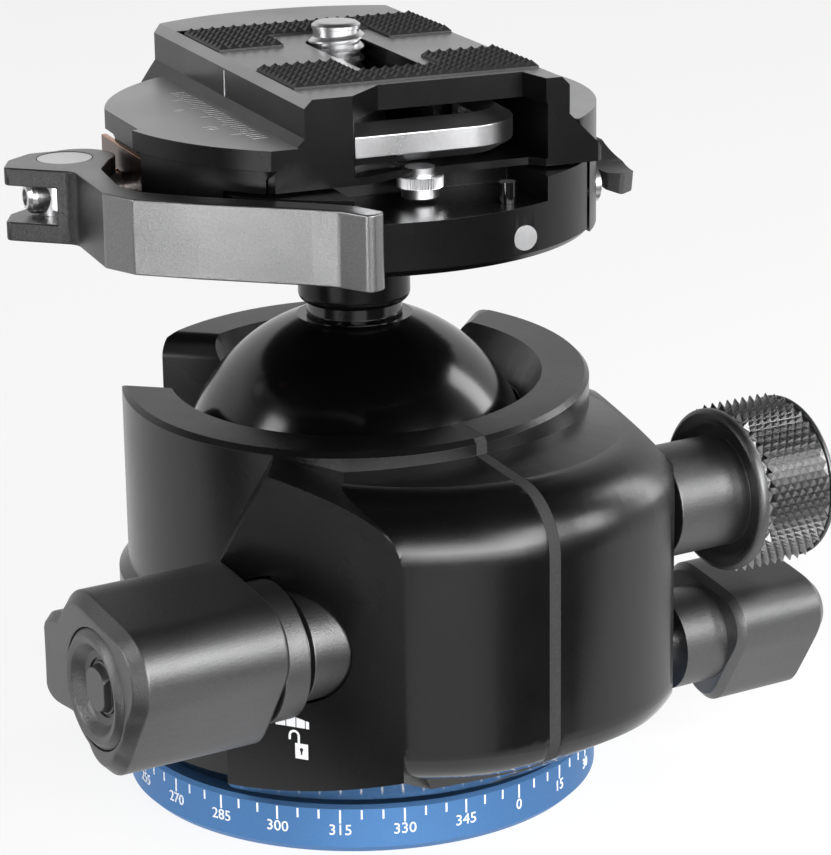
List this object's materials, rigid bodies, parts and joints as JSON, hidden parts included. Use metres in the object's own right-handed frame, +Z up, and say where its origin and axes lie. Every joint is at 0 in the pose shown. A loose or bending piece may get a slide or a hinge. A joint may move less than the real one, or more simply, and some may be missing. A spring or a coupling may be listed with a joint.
{
  "type": "tripod ball head",
  "caption": "Tripod ball head with a graduated panning base, split body with drop notches, lock, friction and pan knobs, lever dovetail clamp and sliding camera plate.",
  "frame": {"origin": "centre of the base underside, on the pan axis", "axes": "+Z up along the pan axis, +X along the lock screw toward the friction knob, -Y toward the split nose"},
  "size_m": [0.0927, 0.0734, 0.0852],
  "materials": {
    "anodised_blue": "satin blue anodised, white engraved graduations",
    "steel": "plain machined steel",
    "plain_alloy": "plain turned alloy",
    "white_polymer": "low friction polymer",
    "black_anodised": "black bead-blasted anodised alloy",
    "rubber_strip": "matt rubber",
    "black_hard_coat": "glossy black hard coat",
    "bright_steel": "bright stainless steel",
    "grey_anodised": "dark grey bead-blasted anodised alloy",
    "brass_pad": "plain brass",
    "copper_alloy": "copper-coloured bronze strip",
    "black_rubber": "matt rubber with a pyramid grip"
  },
  "bodies": {
    "base": {"pan_base": "anodised_blue", "tripod_bush": "steel", "base_screws": "steel", "pan_spindle": "plain_alloy"},
    "housing": {"housing": "black_anodised", "slot_seal": "rubber_strip", "pan_retainer": "plain_alloy", "retainer_screws": "steel", "thrust_washer": "white_polymer", "seat_spring": "steel", "pan_pad": "brass_pad"},
    "seat": {"ball_seat": "white_polymer"},
    "ball": {"ball": "black_hard_coat"},
    "clamp": {"neck_ring": "bright_steel", "neck": "black_anodised", "neck_bolt": "steel", "clamp_base": "black_anodised", "fixed_jaw": "black_anodised", "jaw_screws": "steel", "guide_rods": "bright_steel", "wall_pin": "bright_steel", "stop_post": "black_hard_coat", "pivot_pin": "bright_steel", "tension_rod": "steel"},
    "lock": {"lock_screw": "steel", "lock_knob": "grey_anodised", "lock_cap": "grey_anodised", "lock_collar": "grey_anodised", "lock_sleeve": "grey_anodised"},
    "drag": {"drag_screw": "steel", "drag_hub": "grey_anodised", "drag_grip": "grey_anodised"},
    "pan_lock": {"pan_stem": "steel", "pan_knob": "grey_anodised"},
    "lever": {"lever": "grey_anodised"},
    "jaw": {"moving_jaw": "black_anodised", "wear_plate": "copper_alloy"},
    "wing": {"wing_nut": "grey_anodised"},
    "plate": {"plate": "black_anodised", "pad_front": "black_rubber", "pad_rear": "black_rubber", "stop_screw": "bright_steel"},
    "key": {"hex_key": "bright_steel"},
    "clip": {"screw_clip": "steel"},
    "camera": {"camera_screw": "bright_steel"}
  },
  "joints": [
    {"name": "pan", "type": "hinge", "parent": "base", "child": "housing", "pos_m": [0, 0, 0], "axis": [0, 0, 1], "continuous": true},
    {"name": "ball_swivel", "type": "hinge", "parent": "housing", "child": "seat", "pos_m": [0, 0, 0.0351], "axis": [0, 0, 1], "range_deg": [-90, 0]},
    {"name": "ball_tilt", "type": "hinge", "parent": "seat", "child": "ball", "pos_m": [0, 0, 0.0351], "axis": [-0.7071, -0.7071, 0], "range_deg": [-36, 90]},
    {"name": "ball_spin", "type": "hinge", "parent": "ball", "child": "clamp", "pos_m": [0, 0, 0.0351], "axis": [0, 0, 1], "continuous": true},
    {"name": "lock_turn", "type": "hinge", "parent": "housing", "child": "lock", "pos_m": [-0.036, -0.0235, 0.0262], "axis": [1, 0, 0], "range_deg": [-45, 300]},
    {"name": "drag_turn", "type": "hinge", "parent": "housing", "child": "drag", "pos_m": [0.036, -0.0235, 0.0334], "axis": [1, 0, 0], "range_deg": [-45, 300]},
    {"name": "pan_lock_turn", "type": "hinge", "parent": "housing", "child": "pan_lock", "pos_m": [0.036, -0.0195, 0.0148], "axis": [1, 0, 0], "range_deg": [-45, 300]},
    {"name": "lever_swing", "type": "hinge", "parent": "clamp", "child": "lever", "pos_m": [-0.02896, 0.01259, 0.069], "axis": [0, 0, -1], "range_deg": [0, 95]},
    {"name": "jaw_slide", "type": "slide", "parent": "clamp", "child": "jaw", "axis": [-0.9871, 0.1599, 0], "range_m": [0, 0.001]},
    {"name": "wing_turn", "type": "hinge", "parent": "clamp", "child": "wing", "pos_m": [0.02987, 0.00306, 0.069], "axis": [0.9871, -0.1599, 0], "continuous": true},
    {"name": "plate_slide", "type": "slide", "parent": "clamp", "child": "plate", "axis": [0.1599, 0.9871, 0], "range_m": [-0.01, 0.001]},
    {"name": "key_draw", "type": "slide", "parent": "plate", "child": "key", "axis": [-0.1599, -0.9871, 0], "range_m": [0, 0.012]},
    {"name": "screw_slide", "type": "slide", "parent": "plate", "child": "clip", "axis": [-0.1599, -0.9871, 0], "range_m": [0, 0.012]},
    {"name": "camera_screw_turn", "type": "hinge", "parent": "clip", "child": "camera", "pos_m": [0.00361, 0.00914, 0.08], "axis": [0, 0, 1], "continuous": true}
  ],
  "couplings": [
    {"joint": "jaw_slide", "follows": "lever_swing", "m_per_rad": 0.0006}
  ]
}
